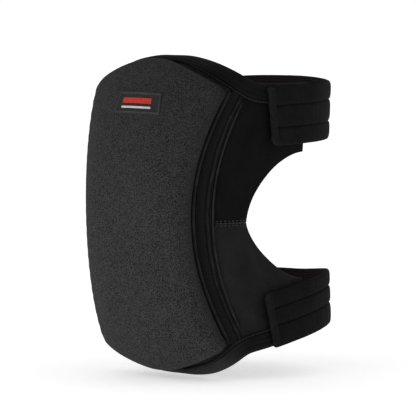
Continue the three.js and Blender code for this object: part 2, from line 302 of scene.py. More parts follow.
def cushion_height(deg, z, inset, flat):
    """The cushion's height over the leg surface: round at the side seams, with a flat hem at each end."""
    side = (seam_angle(z) - np.abs(deg)) * DEGREE_MM - inset
    top = below_hem(deg) - inset - z
    bottom = z - above_hem(deg) - inset

    def short(distance, reach):
        return 1 - np.clip(distance / reach, 0, 1)

    end = short(np.minimum(top, bottom), END_ROUNDING)
    edge = short(side, SIDE_ROUNDING)
    corner = np.minimum((edge**CORNER_POWER + end**CORNER_POWER) ** (1 / CORNER_POWER), 1)
    power = lerp(SIDE_FULLNESS, END_FULLNESS, end / np.maximum(edge + end, 1e-6))
    thinned = 1 - END_THINNING * np.abs(end_share(z)) ** 4
    return flat + (CUSHION - inset - flat) * thinned * (1 - corner**power) ** (1 / power)


def share_of_crown(deg, z):
    return (cushion_height(deg, z, 0, HEM_FLAT) - HEM_FLAT) / (CUSHION - HEM_FLAT)


def overhang(deg, z):
    """How far the stuffed end bulges up or down over its hem, most where the cushion is high."""
    share = np.clip(share_of_crown(deg, z), 0, 1)
    start, end = OVERHANG_REACH
    near_top = smoothstep(z, PAD_TOP - start, PAD_TOP - end) * OVERHANG_TOP
    near_bottom = smoothstep(-z, -PAD_BOTTOM - start, -PAD_BOTTOM - end) * OVERHANG_BOTTOM
    sideways = np.clip(np.abs(deg) / SEAM_AT_ENDS, 0, 1)
    return (near_top - near_bottom) * smoothstep(share, 0, 1) * (1 - sideways**4)


def coons(bottom, top, left, right):
    """A patch with four curved sides, each a function of 0..1 that gives (degrees, height)."""
    corners = [[np.asarray(f(np.float64(t))) for t in (0, 1)] for f in (bottom, top)]

    def patch(u, v):
        sides = [np.stack(np.broadcast_arrays(*f(t)), axis=-1) for f, t in
                 ((bottom, u), (top, u), (left, v), (right, v))]
        u, v = u[..., None], v[..., None]
        ruled = lerp(sides[0], sides[1], v) + lerp(sides[2], sides[3], u)
        flat = lerp(lerp(corners[0][0], corners[0][1], u), lerp(corners[1][0], corners[1][1], u), v)
        found = ruled - flat
        return found[..., 0], found[..., 1]

    return patch


def cushion_side(sign):
    def side(v):
        z = lerp(bottom_edge(SEAM_AT_ENDS), top_edge(SEAM_AT_ENDS), v)
        return sign * seam_angle(z), z

    return side


def cushion_end(v, edge):
    reach = float(cushion_side(1)(v)[0])

    def end(u):
        deg = lerp(-1, 1, u) * reach
        return deg, edge(deg)

    return end


cushion_ends = cushion_end(0, bottom_edge), cushion_end(1, top_edge)
cushion_patch = coons(*cushion_ends, cushion_side(-1), cushion_side(1))


def notch(sign, height, curve):
    """The wing's inner edge: along the dart, then round the cutout behind the knee."""
    dart_share = 0.3

    def edge(u):
        start = float(seam_angle(DART_HEIGHT)) + WING_START
        dart = lerp(start, CUTOUT_START, np.minimum(u / dart_share, 1))
        turn = np.clip((u - dart_share) / (1 - dart_share), 0, 1) * math.pi / 2
        back = 1 - np.maximum(np.cos(turn), 0) ** (2 / curve)
        rise = np.sin(turn) ** (2 / curve)
        deg = np.where(u < dart_share, dart, lerp(CUTOUT_START, WING_END, back))
        return deg, DART_HEIGHT + sign * (height * rise - DART_OVERLAP)

    return edge


def wing_patch(low_edge, high_edge):
    z_low, z_high = float(low_edge(np.float64(0))[1]), float(high_edge(np.float64(0))[1])
    end_low, end_high = float(low_edge(np.float64(1))[1]), float(high_edge(np.float64(1))[1])

    def seam(v):
        z = lerp(z_low, z_high, v)
        return seam_angle(z) + WING_START, z

    def end(v):
        return WING_END + 0 * v, lerp(end_low, end_high, v)

    return coons(low_edge, high_edge, seam, end)


def hem_line(edge):
    def line(u):
        deg = lerp(SEAM_AT_ENDS + WING_START, WING_END, u)
        return deg, edge(deg)

    return line


upper_wing = wing_patch(notch(1, *NOTCH_UP), hem_line(top_edge))
lower_wing = wing_patch(hem_line(bottom_edge), notch(-1, *NOTCH_DOWN))


def seam_line(behind, margin=0.0):
    """A line beside the side seam between the two hems, as (degrees, height) of 0..1."""
    low = float(above_hem(SEAM_AT_ENDS + behind)) + margin - TUCK
    high = float(below_hem(SEAM_AT_ENDS + behind)) - margin + TUCK

    def line(t):
        z = lerp(low, high, t)
        return seam_angle(z) + behind, z

    return line


def seam_strip(front, rear):
    low = [f(np.float64(0)) for f in (seam_line(front), seam_line(rear))]
    high = [f(np.float64(1)) for f in (seam_line(front), seam_line(rear))]

    def end(pair):
        return lambda u: (lerp(pair[0][0], pair[1][0], u), lerp(pair[0][1], pair[1][1], u))

    return coons(end(low), end(high), seam_line(front), seam_line(rear))


# ---------------------------------------------------------------- mesh building


def build(name, points, faces, uvs, material):
    """A smooth mesh in the frame from millimetre points, with a UV in millimetres for each face corner."""
    mesh = bpy.data.meshes.new(name)
    mesh.from_pydata(to_frame(points).tolist(), [], [list(map(int, f)) for f in faces])
    layer = mesh.uv_layers.new(name="Cloth")
    flat = np.concatenate([np.asarray(corner, float).reshape(-1, 2) for corner in uvs])
    layer.data.foreach_set("uv", (flat / 1000).ravel())
    mesh.polygons.foreach_set("use_smooth", [True] * len(mesh.polygons))
    mesh.materials.append(material)
    face_outward(mesh)
    piece = bpy.data.objects.new(name, mesh)
    bpy.context.scene.collection.objects.link(piece)
    return piece


def face_outward(mesh):
    shell = bmesh.new()
    shell.from_mesh(mesh)
    bmesh.ops.recalc_face_normals(shell, faces=shell.faces)
    shell.to_mesh(mesh)
    shell.free()
    mesh.update()


EDGE_BENDS = 5


def rounded_places(length, radius, step):
    """Places from 0 to 1 along a length, close together over the rounding at each end."""
    turn = np.linspace(0, math.pi / 2, EDGE_BENDS, endpoint=False)
    near = radius * (1 - np.cos(turn)) / length
    count = max(int(round((length - 2 * radius) / step)), 2)
    middle = np.linspace(radius / length, 1 - radius / length, count + 1)
    return np.concatenate([near, middle, 1 - near[::-1]])


def edge_round(place, length, radius):
    """How full the thickness is at a place near a rounded edge, from 0 to 1."""
    inside = np.minimum(place, 1 - place) * length / radius
    return np.sqrt(np.maximum(1 - (1 - np.clip(inside, 0, 1)) ** 2, 0))


def cell_corners(grid, flip=False):
    """The four corners of every cell of a grid, in turn."""
    order = [grid[:-1, :-1], grid[:-1, 1:], grid[1:, 1:], grid[1:, :-1]]
    return np.stack(order[::-1] if flip else order, axis=2)


def pillow(name, outer, inner, cloth, material):
    """A closed slab between two grids of points that share their rim. cloth is the grid's UV in mm."""
    rows, columns = outer.shape[:2]
    index = np.arange(rows * columns).reshape(rows, columns)
    rim = np.ones((rows, columns), bool)
    rim[1:-1, 1:-1] = False
    back = index.copy()
    back[~rim] = rows * columns + np.arange(np.count_nonzero(~rim))
    middle = (outer + inner) / 2
    front_points = np.where(rim[..., None], middle, outer).reshape(-1, 3)
    points = np.concatenate([front_points, inner[~rim]])
    faces = np.concatenate([cell_corners(index), cell_corners(back, True)]).reshape(-1, 4)
    return build(name, points, faces, [cell_corners(cloth), cell_corners(cloth, True)], material)


def tube(name, rings, along, around, material):
    """A capped tube through rings of points. along and around are its UVs in millimetres."""
    count, sides = rings.shape[:2]
    index = np.arange(count * sides).reshape(count, sides)
    faces = cell_corners(np.column_stack([index, index[:, 0]])).reshape(-1, 4).tolist()
    across = np.append(around, 2 * around[-1] - around[-2])
    uvs = [cell_corners(np.stack(np.meshgrid(along, across, indexing="ij"), axis=-1))]
    for ring, turn in ((0, -1), (count - 1, 1)):
        faces.append(index[ring, ::turn].tolist())
        uvs.append(np.tile([[along[ring], 0.0]], (sides, 1)))
    piece = build(name, rings.reshape(-1, 3), faces, uvs, material)
    for edge in piece.data.edges:
        start, end = (corner // sides for corner in edge.vertices)
        edge.use_edge_sharp = start == end and start in (0, count - 1)
    return piece


def arc_lengths(points):
    steps = np.linalg.norm(np.diff(points, axis=0), axis=-1)
    return np.concatenate([[0], np.cumsum(steps)])


def cloth_grid(surface):
    """UVs in millimetres for a grid of points: lengths along its middle row and middle column."""
    rows, columns = surface.shape[:2]
    across = arc_lengths(surface[rows // 2])
    along = arc_lengths(surface[:, columns // 2])
    return np.stack(np.meshgrid(across, along), axis=-1)


def panel(name, patch, low, high, size, radius, material, step=2.0, mirror=False, shape=None):
    """A slab with rounded edges over a patch of the leg. low and high are offsets from the skin side."""
    u = rounded_places(size[0], radius, step)
    v = rounded_places(size[1], radius, step)
    grid_u, grid_v = np.meshgrid(u, v)
    deg, z = patch(grid_u, grid_v)
    bottom = low(deg, z) if callable(low) else low + 0 * deg
    top = high(deg, z) if callable(high) else high + 0 * deg
    if shape is not None:
        bottom, top = shape(deg, z, bottom, top)
    fullness = edge_round(grid_u, size[0], radius) * edge_round(grid_v, size[1], radius)
    middle, half = (bottom + top) / 2, (top - bottom) / 2 * fullness
    outer, inner = on_leg(deg, z, middle + half), on_leg(deg, z, middle - half)
    cloth = cloth_grid(outer)
    if mirror:
        outer, inner = outer[:, ::-1] * [-1, 1, 1], inner[:, ::-1] * [-1, 1, 1]
        cloth = cloth[:, ::-1]
    return pillow(name, outer, inner, cloth, material)


Frames = namedtuple("Frames", "deg z around up out across")


def line_frames(line, count, mirror=1):
    """Places along a line on the leg, with the leg's tangents there and the way across the line."""
    deg, z = line(np.linspace(0, 1, count))
    deg = mirror * deg
    around, up, out = tangents(deg, z)
    run = np.gradient(leg_point(deg, z), axis=0)
    run /= np.linalg.norm(run, axis=-1, keepdims=True)
    return Frames(deg, z, around, up, out, np.cross(out, run))


def on_line(frames, inset, offset):
    """Points at an inset to the left of a line and an offset above the skin side."""
    deg, z, around, up, _, across = frames
    rise = np.sum(across * up, -1) / np.sum(up * up, -1)
    turn = np.sum((across - up * rise[:, None]) * around, -1) / np.sum(around * around, -1)
    return on_leg(deg + turn * inset, z + rise * inset, offset)


def cord(name, line, radius, offset, material, steps, mirror=1, sides=14, dip=0.0):
    """A cord along a line, with round ends that dip down where they run under the hems."""
    frames = line_frames(line, steps + 1, mirror)
    length = arc_lengths(leg_point(frames.deg, frames.z))
    from_end = np.minimum(length, length[-1] - length)
    taper = np.sqrt(np.clip(1 - (1 - np.clip(from_end / radius, 0, 1)) ** 2, 0.02, 1))
    under = np.clip(from_end / (TUCK + 3), 0, 1)
    centre = offset - dip * (1 - under**2)
    size = radius * taper
    turn = np.linspace(0, 2 * math.pi, sides, endpoint=False)
    rings = [on_line(frames, size * math.cos(a), centre + size * math.sin(a)) for a in turn]
    return tube(name, np.stack(rings, 1), length, turn * radius, material)


STITCH_SIDES = 6
STITCH_RINGS = 5


def stitches(name, runs, material, length=2.1, gap=0.9, radius=0.28, sink=0.45):
    """Rows of thread stitches. Each run is (points, outward directions) along a seam, in millimetres."""
    points, faces = [], []
    share = np.linspace(-1, 1, STITCH_RINGS)
    size = radius * np.sqrt(np.maximum(1 - share**4, 0.06))
    lift = radius * (1 - sink * 2 * share**2)
    turn = np.linspace(0, 2 * math.pi, STITCH_SIDES, endpoint=False)
    for path, outs in runs:
        places = arc_lengths(path)
        for start in np.arange(gap / 2, places[-1] - length, length + gap):
            at = np.linspace(start, start + length, STITCH_RINGS)
            centre = np.stack([np.interp(at, places, path[:, k]) for k in range(3)], -1)
            out = np.stack([np.interp(at, places, outs[:, k]) for k in range(3)], -1)
            out /= np.linalg.norm(out, axis=-1, keepdims=True)
            run = centre[-1] - centre[0]
            run /= np.linalg.norm(run)
            side = np.cross(out, run)
            ring = (centre + out * lift[:, None])[:, None] + size[:, None, None] * (
                side[:, None] * np.cos(turn)[None, :, None] + out[:, None] * np.sin(turn)[None, :, None])
            index = len(points) + np.arange(STITCH_RINGS * STITCH_SIDES).reshape(STITCH_RINGS, STITCH_SIDES)
            points.extend(ring.reshape(-1, 3))
            faces.extend(cell_corners(np.column_stack([index, index[:, 0]]), True).reshape(-1, 4).tolist())
            faces.extend([index[0].tolist(), index[-1, ::-1].tolist()])
    corners = sum(len(f) for f in faces)
    return build(name, np.array(points), faces, [np.zeros((corners, 2))], material)


# ---------------------------------------------------------------- materials


class Look:
    """A fabric's node tree: a Principled shader with helpers for textures laid in millimetres."""

    def __init__(self, name, roughness, sheen, specular=0.12):
        self.material = bpy.data.materials.new(name)
        self.material.use_nodes = True
        self.tree = self.material.node_tree
        self.shader = self.tree.nodes["Principled BSDF"]
        self.shader.inputs["Specular IOR Level"].default_value = specular
        self.shader.inputs["Roughness"].default_value = roughness
        self.shader.inputs["Sheen Weight"].default_value = sheen
        self.shader.inputs["Sheen Roughness"].default_value = 0.5
        coords = self.node("ShaderNodeUVMap", uv_map="Cloth")
        scaled = self.node("ShaderNodeVectorMath", operation="SCALE")
        scaled.inputs["Scale"].default_value = 1000
        self.link(coords.outputs["UV"], scaled.inputs[0])
        self.cloth = scaled.outputs["Vector"]
        place = self.node("ShaderNodeTexCoord")
        self.place = place.outputs["Object"]

    def node(self, kind, **settings):
        node = self.tree.nodes.new(kind)
        for key, value in settings.items():
            setattr(node, key, value)
        return node

    def link(self, source, target):
        self.tree.links.new(source, target)

    def noise(self, scale, detail=2.0, where=None):
        node = self.node("ShaderNodeTexNoise")
        node.inputs["Scale"].default_value = scale
        node.inputs["Detail"].default_value = detail
        self.link(where or self.cloth, node.inputs["Vector"])
        return node.outputs["Fac"]

    def cells(self, scale, randomness=1.0):
        node = self.node("ShaderNodeTexVoronoi")
        node.inputs["Scale"].default_value = scale
        node.inputs["Randomness"].default_value = randomness
        self.link(self.cloth, node.inputs["Vector"])
        return node.outputs["Distance"]

    def ribs(self, direction, pitch, distortion=0.0):
        """Rows across the cloth's X or Y, one each pitch millimetres."""
        node = self.node("ShaderNodeTexWave", bands_direction=direction, wave_profile="SIN")
        node.inputs["Scale"].default_value = math.pi / (10 * pitch)
        node.inputs["Distortion"].default_value = distortion
        node.inputs["Detail"].default_value = 1.0
        self.link(self.cloth, node.inputs["Vector"])
        return node.outputs["Fac"]

    def math(self, operation, a, b):
        node = self.node("ShaderNodeMath", operation=operation)
        for slot, value in zip(node.inputs, (a, b)):
            if isinstance(value, (int, float)):
                slot.default_value = value
            else:
                self.link(value, slot)
        return node.outputs["Value"]

    def plus(self, a, b):
        return self.math("ADD", a, b)

    def times(self, a, b):
        return self.math("MULTIPLY", a, b)

    def along(self, axis):
        """How far a place is along the cloth's X or Y, in millimetres."""
        parts = self.node("ShaderNodeSeparateXYZ")
        self.link(self.cloth, parts.inputs["Vector"])
        return parts.outputs[axis]

    def off_middle(self, axis):
        """The same to either side, on cloth whose origin is in its middle."""
        return self.math("ABSOLUTE", self.along(axis), 0)

    def between(self, value, low, high):
        """The value stretched so that low is 0 and high is 1."""
        node = self.node("ShaderNodeMapRange", clamp=True)
        node.inputs["From Min"].default_value = low
        node.inputs["From Max"].default_value = high
        self.link(value, node.inputs["Value"])
        return node.outputs["Result"]

    def mix(self, factor, a, b):
        node = self.node("ShaderNodeMix", data_type="RGBA")
        self.link(factor, node.inputs["Factor"])
        for key, colour in (("A", a), ("B", b)):
            slot = [s for s in node.inputs if s.name == key and s.type == "RGBA"][0]
            if isinstance(colour, tuple):
                slot.default_value = (*colour, 1)
            else:
                self.link(colour, slot)
        return [s for s in node.outputs if s.type == "RGBA"][0]

    def tones(self, factor, dark, pale):
        return self.mix(factor, grey(dark), grey(pale))

    def worn(self, colour, rubbed_and_highlight, share=0.6):
        """The colour, paler where the surface stands up in a sharp edge, as wear and as a painted highlight,
        and darker in its crevices, as painted shade.
        """
        pointed = self.node("ShaderNodeNewGeometry").outputs["Pointiness"]
        edge = self.between(pointed, 0.505, 0.56)
        painted_crevice_shade = self.between(pointed, 0.492, 0.44)
        # Painted shade in the crevices.
        colour = self.mix(self.times(painted_crevice_shade, 0.8), colour, grey(0.0015))
        patchy = self.between(self.noise(0.09, 3), 0.35, 0.65)
        return self.mix(self.times(self.times(edge, patchy), share), colour, rubbed_and_highlight)

    def finish(self, colour, height, depth, roughness=None):
        """Sets the colour, and a bump whose height runs over depth millimetres."""
        self.link(colour, self.shader.inputs["Base Color"])
        if roughness is not None:
            self.link(roughness, self.shader.inputs["Roughness"])
        bump = self.node("ShaderNodeBump")
        bump.inputs["Distance"].default_value = depth / 1000
        self.link(height, bump.inputs["Height"])
        self.link(bump.outputs["Normal"], self.shader.inputs["Normal"])
        return self.material


def grey(level, warm=0.0):
    return (level * (1 + warm), level, level * (1 - 2 * warm))


def cover_look(half_width, half_length):
    """Coarse abrasion cloth with a grain of half a millimetre, with painted shade that darkens it towards its
    top and towards each seam.
    """
    look = Look("abrasion_cloth", 0.92, 0.02, 0.05)
    pebble = look.cells(1.8)
    fine = look.noise(2.4, 4)
    speck = look.between(look.plus(look.times(pebble, -0.8), fine), 0.04, 0.36)
    mottle = look.between(look.noise(0.12, 4), 0.3, 0.7)
    cloth = look.mix(speck, look.tones(mottle, 0.0085, 0.0108), look.tones(mottle, 0.064, 0.078))
    # Painted shade: the cloth is mixed towards a dark grey towards its top, beside its side seams and at its
    # ends.
    upper = look.between(look.along("Y"), -0.05 * half_length, 0.65 * half_length)
    side = look.between(look.off_middle("X"), half_width - 17, half_width - 2)
    end = look.between(look.off_middle("Y"), half_length - 14, half_length - 1)
    seams = look.math("MAXIMUM", look.times(side, side), look.times(end, 0.7))
    dark = grey(0.006)
    colour = look.mix(look.times(upper, 0.26), cloth, dark)
    colour = look.mix(look.times(seams, 0.52), colour, dark)
    colour = look.worn(colour, grey(0.055), 0.25)
    height = look.math("SUBTRACT", look.times(fine, 0.7), pebble)
    return look.finish(colour, height, 0.45, look.between(look.noise(0.5, 2), -1.6, 0.9))


def knit_look(name, level, pitch, depth, rub_and_highlight=2.4):
    """A fine knit: rows both ways, with a soft mottle. The rub argument is how much paler its sharp edges are,
    as wear and as a painted highlight.
    """
    look = Look(name, 0.85, 0.01, 0.04)
    weave = look.times(look.ribs("Y", pitch, 0.6), look.ribs("X", pitch * 0.8, 0.6))
    mottle = look.between(look.noise(0.07, 4), 0.25, 0.75)
    fine = look.between(look.noise(1.7, 2), 0.3, 0.7)
    lifted = look.plus(look.times(weave, 0.65), look.times(fine, 0.35))
    base = look.tones(mottle, level * 0.7, level * 1.4)
    colour = look.mix(look.between(lifted, -0.6, 1.2), grey(level * 0.45), base)
    colour = look.worn(colour, grey(level * rub_and_highlight))
    return look.finish(colour, lifted, depth, look.between(look.noise(0.3, 2), -2.2, 0.9))


def tape_look(name, level, pitch=0.8, depth=0.18):
    """Woven binding tape: fine ribs across its length."""
    look = Look(name, 0.8, 0.015, 0.05)
    ribs = look.ribs("X", pitch, 0.4)
    selvedge = look.ribs("Y", pitch * 2.2, 0.8)
    fine = look.between(look.noise(1.1, 3), 0.3, 0.7)
    height = look.plus(look.times(ribs, 0.7), look.times(selvedge, 0.3))
    colour = look.tones(look.between(height, -0.5, 1.1), level * 0.55, level * 1.2)
    colour = look.mix(fine, colour, grey(level * 0.8))
    return look.finish(look.worn(colour, grey(level * 2.6), 0.8), height, depth)


def hem_look(name, level, middle_level, middle):
    """Binding tape that turns into coarse cover cloth within some distance of its middle."""
    look = Look(name, 0.85, 0.015, 0.05)
    ribs = look.ribs("X", 0.8, 0.4)
    fine = look.between(look.noise(1.3, 3), 0.3, 0.7)
    coarse = look.between(look.noise(2.6, 3), 0.3, 0.7)
    tape = look.tones(look.between(ribs, -0.5, 1.1), level * 0.55, level * 1.2)
    tape = look.mix(fine, tape, grey(level * 0.8))
    cover = look.tones(coarse, middle_level * 0.5, middle_level * 1.5)
    outside = look.between(look.off_middle("X"), middle - 14, middle + 6)
    colour = look.mix(outside, cover, tape)
    return look.finish(look.worn(colour, grey(level * 2.6), 0.8), look.plus(ribs, coarse), 0.18)


def grid_look(name, level):
    """The straps' inner face: an olive-tinted grid of loops."""
    look = Look(name, 0.95, 0.02, 0.04)
    grid = look.times(look.ribs("X", 2.0, 0.5), look.ribs("Y", 2.0, 0.5))
    lift = look.plus(look.times(grid, 0.7), look.times(look.noise(3.2, 3), 0.5))
    colour = look.mix(look.between(lift, 0.2, 1.0), grey(level * 0.4, 0.12), grey(level * 1.8, 0.16))
    return look.finish(colour, lift, 0.5)


def loop_look():
    look = Look("loop_pile", 0.98, 0.08, 0.05)
    fuzz = look.noise(2.6, 5)
    return look.finish(look.tones(look.between(fuzz, 0.35, 0.65), 0.003, 0.011), fuzz, 0.7)


def hook_look():
    """Moulded hooks: a regular field of points on a smooth backing."""
    look = Look("hook_tape", 0.6, 0.0, 0.15)
    hooks = look.between(look.cells(0.72, randomness=0.05), 0.42, 0.05)
    return look.finish(look.mix(hooks, grey(0.006), grey(0.02, 0.05)), hooks, 0.7)


def foam_look(name, level):
    look = Look(name, 0.95, 0.05)
    pores = look.cells(1.1)
    tone = look.between(look.noise(0.2, 4), 0.3, 0.7)
    colour = look.tones(tone, level * 0.75, level * 1.2)
    colour = look.mix(look.between(pores, 0.0, 0.35), grey(level * 0.3), colour)
    return look.finish(colour, pores, 0.6)


def thread_look(name, level):
    look = Look(name, 0.7, 0.02, 0.08)
    tone = look.between(look.noise(500, 2, look.place), 0.3, 0.7)
    return look.finish(look.tones(tone, level * 0.7, level * 1.4), tone, 0.1)


def label_look(name, level, tint=(1, 1, 1)):
    look = Look(name, 0.7, 0.0, 0.08)
    weave = look.times(look.ribs("X", 0.5), look.ribs("Y", 0.5))
    tone = look.between(look.noise(0.4, 3), 0.3, 0.7)
    dark, pale, rubbed_and_highlight = (tuple(min(level * share, 0.6) * part for part in tint) for share in (0.8, 1.2, 2))
    return look.finish(look.worn(look.mix(tone, dark, pale), rubbed_and_highlight), weave, 0.12)


# One neoprene in two copies: the upper wings' is darker, as painted shade, and the lower wings' paler, as
# painted light.
NEOPRENE_UP_SHADED = knit_look("neoprene_upper_painted_shade", 0.0058, 1.0, 0.10, rub_and_highlight=2.0)
NEOPRENE_LOW_LIT = knit_look("neoprene_lower_painted_light", 0.0150, 1.0, 0.10, rub_and_highlight=2.0)
LINING_KNIT = knit_look("lining_knit", 0.012, 1.3, 0.2)
TOP_HEM = hem_look("top_hem_tape", 0.0052, 0.011, 42)
# The bottom hem's middle is paler than the top hem's, as painted light from below.
BOTTOM_HEM_LIT = hem_look("bottom_hem_tape_painted_light", 0.0052, 0.024, 62)
SEAM_TAPE = tape_look("seam_tape", 0.0082)
PIPING = tape_look("piping_tape", 0.0135, 0.7, 0.12)
END_TAPE = tape_look("end_tape", 0.0072, 0.9, 0.22)
ELASTIC = knit_look("elastic_knit", 0.0070, 0.9, 0.14, rub_and_highlight=1.3)
ELASTIC_INSIDE = grid_look("elastic_inside", 0.014)
LOOP = loop_look()
HOOK = hook_look()
CORE_FOAM = foam_look("core_foam", 0.11)
SOFT_FOAM = foam_look("comfort_foam", 0.2)
THREAD = thread_look("thread", 0.007)
DART_THREAD = thread_look("dart_thread", 0.03)
PALE_THREAD = thread_look("pale_thread", 0.018)
LABEL = label_look("label_patch", 0.018)
LABEL_EDGE = label_look("label_edge", 0.03)
PALE_STRIPE = label_look("pale_stripe", 0.45)
RED_STRIPE = label_look("red_stripe", 0.4, (1.0, 0.07, 0.05))


# ---------------------------------------------------------------- the camera, lights and floor

VIEW_AZIMUTH = 45
VIEW_ELEVATION = 4
VIEW_DISTANCE = 2.6
LENS = 297
SHIFT = (-0.0048, 0.0108)
FLOOR_REACH = 12
FLOOR_GLOW = 0.45  # the floor is lit from below, as a light table is


def from_view(azimuth, elevation, distance):
    """A point at a compass angle round the object, where 0 is in front of it, at a height angle."""
    a, e = math.radians(azimuth), math.radians(elevation)
    return Vector((math.sin(a) * math.cos(e), -math.cos(a) * math.cos(e), math.sin(e))) * distance


def look_at(thing, target):
    thing.rotation_euler = (target - thing.location).to_track_quat("-Z", "Y").to_euler()


def add_camera():
    low, high = CAD_BOX
    target = Vector((0, 0, (low.z + high.z) / 2))
    camera = bpy.data.objects.new("camera", bpy.data.cameras.new("camera"))
    bpy.context.scene.collection.objects.link(camera)
    camera.data.lens = LENS
    camera.data.sensor_width = 36
    camera.data.shift_x, camera.data.shift_y = SHIFT
    camera.data.clip_end = 50
    camera.location = target + from_view(VIEW_AZIMUTH, VIEW_ELEVATION, VIEW_DISTANCE)
    look_at(camera, target)
    bpy.context.scene.camera = camera
    return target


def add_light(name, azimuth, elevation, distance, size, power, target):
    lamp = bpy.data.lights.new(name, "AREA")
    lamp.shape = "DISK"
    lamp.size = size
    lamp.energy = power
    light = bpy.data.objects.new(name, lamp)
    bpy.context.scene.collection.objects.link(light)
    light.location = target + from_view(azimuth, elevation, distance)
    look_at(light, target)


def add_floor():
    mesh = bpy.data.meshes.new("floor")
    corners = [(x * FLOOR_REACH, y * FLOOR_REACH, 0) for x, y in ((-1, -1), (1, -1), (1, 1), (-1, 1))]
    mesh.from_pydata(corners, [], [(0, 1, 2, 3)])
    material = bpy.data.materials.new("floor")
    material.use_nodes = True
    shader = material.node_tree.nodes["Principled BSDF"]
    shader.inputs["Base Color"].default_value = (0.95, 0.95, 0.95, 1)
    shader.inputs["Roughness"].default_value = 0.9
    shader.inputs["Specular IOR Level"].default_value = 0.1
    shader.inputs["Emission Color"].default_value = (1, 1, 1, 1)
    shader.inputs["Emission Strength"].default_value = FLOOR_GLOW
    mesh.materials.append(material)
    floor = bpy.data.objects.new("floor", mesh)
    bpy.context.scene.collection.objects.link(floor)


def add_world(horizon, zenith):
    """A white studio, dimmer overhead."""
    world = bpy.data.worlds.new("studio")
    world.use_nodes = True
    tree = world.node_tree
    place = tree.nodes.new("ShaderNodeTexCoord")
    parts = tree.nodes.new("ShaderNodeSeparateXYZ")
    fade = tree.nodes.new("ShaderNodeMapRange")
    fade.inputs["From Min"].default_value = 0.15
    fade.inputs["From Max"].default_value = 1.0
    fade.inputs["To Min"].default_value = horizon
    fade.inputs["To Max"].default_value = zenith
    tree.links.new(place.outputs["Generated"], parts.inputs["Vector"])
    tree.links.new(parts.outputs["Z"], fade.inputs["Value"])
    sky = tree.nodes["Background"]
    sky.inputs["Color"].default_value = (1, 1, 1, 1)
    tree.links.new(fade.outputs["Result"], sky.inputs["Strength"])
    bpy.context.scene.world = world


def make_stage():
    target = add_camera()
    add_floor()
    add_world(horizon=1.04, zenith=0.38)
    add_light("key", azimuth=-12, elevation=3, distance=1.7, size=0.9, power=4.9, target=target)
    add_light("low_key", azimuth=2, elevation=-5.5, distance=0.95, size=0.22, power=3.0, target=target)
    bpy.context.scene.view_settings.view_transform = "Standard"


# ---------------------------------------------------------------- the cushion

COVER_COLUMNS = 60
COVER_ROWS = 88
CROWDING = 0.085  # how much closer the rows and columns lie at the seams
CORE_INSET = (3 / 20, 5 / 28)  # the foams' margins inside the cover's patch, as shares of it
CORE_SLACK = 2.6  # how much lower the foam core is than its CAD solid, to stay under the worked cloth
SLACK = 1.2  # how much lower the sheet starts than the full cushion
SEWN_STEPS = ((0.02, 1.0), (0.25, 0.6), (0.5, 0.3))  # how firmly the sheet is held below a share of its crown
SWELL_LIMIT = 4.5
SWELL_FRAMES = 20
PUCKER = 0.35
PUCKER_PITCH = 7.5
PUCKER_REACH = 9
QUILT_DEPTH = 0.35
QUILT_PITCH = 22


def crowded(t):
    return t - CROWDING * np.sin(2 * math.pi * t)


def cover_places():
    u, v = np.meshgrid(np.linspace(0, 1, COVER_COLUMNS + 1), np.linspace(0, 1, COVER_ROWS + 1))
    return cushion_patch(crowded(u), crowded(v))


def swollen(points, pinned):
    """Cloth simulation: the sheet of points blown up from behind, held where it is pinned."""
    rows, columns = points.shape[:2]
    mesh = bpy.data.meshes.new("swelling")
    index = np.arange(rows * columns).reshape(rows, columns)
    faces = cell_corners(index).reshape(-1, 4).tolist()
    mesh.from_pydata(to_frame(points).reshape(-1, 3).tolist(), [], faces)
    sheet = bpy.data.objects.new("swelling", mesh)
    bpy.context.scene.collection.objects.link(sheet)
    sewn = sheet.vertex_groups.new(name="sewn")
    for _, weight in SEWN_STEPS:
        sewn.add([int(i) for i in np.flatnonzero(np.isclose(pinned.ravel(), weight))], weight, "REPLACE")
    cloth = sheet.modifiers.new("Cloth", "CLOTH")
    cloth.settings.vertex_group_mass = "sewn"
    cloth.settings.quality = 8
    cloth.settings.mass = 0.3
    cloth.settings.tension_stiffness = 5
    cloth.settings.compression_stiffness = 5
    cloth.settings.shear_stiffness = 2.5
    cloth.settings.bending_stiffness = 0.5
    cloth.settings.use_pressure = True
    cloth.settings.uniform_pressure_force = 24
    cloth.settings.effector_weights.gravity = 0
    cloth.point_cache.frame_end = SWELL_FRAMES
    for step in range(1, SWELL_FRAMES + 1):
        bpy.context.scene.frame_set(step)
    shape = sheet.evaluated_get(bpy.context.evaluated_depsgraph_get()).data
    found = np.zeros(len(shape.vertices) * 3)
    shape.vertices.foreach_get("co", found)
    bpy.data.objects.remove(sheet)
    bpy.context.scene.frame_set(1)
    moved = found.reshape(points.shape) * 1000 - AXIS - points
    size = np.linalg.norm(moved, axis=-1, keepdims=True)
    return points + moved * np.minimum(1, SWELL_LIMIT / np.maximum(size, 1e-6))


def held_out(foam, cloth, crown):
    """The cloth where it stands off the foam, and the foam's surface where the foam holds the cloth out."""
    out = grid_normals(foam)
    gap = np.sum((cloth - foam) * out, -1)
    soft = 0.4
    return foam + out * (np.logaddexp(0, gap / soft) * soft * smoothstep(crown, 0, 0.2))[..., None]


def smoothed(points, rounds):
    """The sheet with its small bumps eased out; its rim stays."""
    for _ in range(rounds):
        around = points[:-2, 1:-1] + points[2:, 1:-1] + points[1:-1, :-2] + points[1:-1, 2:]
        points = points.copy()
        points[1:-1, 1:-1] = 0.5 * points[1:-1, 1:-1] + 0.125 * around
    return points


def pressed_flat(points):
    """The front worn flat where it kneels, with a soft edge to the flat."""
    flat = KNEELING_FLAT - FRONT_DEPTH - CUSHION
    y = points[..., 1]
    soft = 0.6
    points = points.copy()
    points[..., 1] = flat + np.logaddexp(0, (y - flat) / soft) * soft
    return points


def grid_normals(points):
    across = np.gradient(points, axis=1)
    along = np.gradient(points, axis=0)
    out = np.cross(across, along)
    return out / np.linalg.norm(out, axis=-1, keepdims=True)


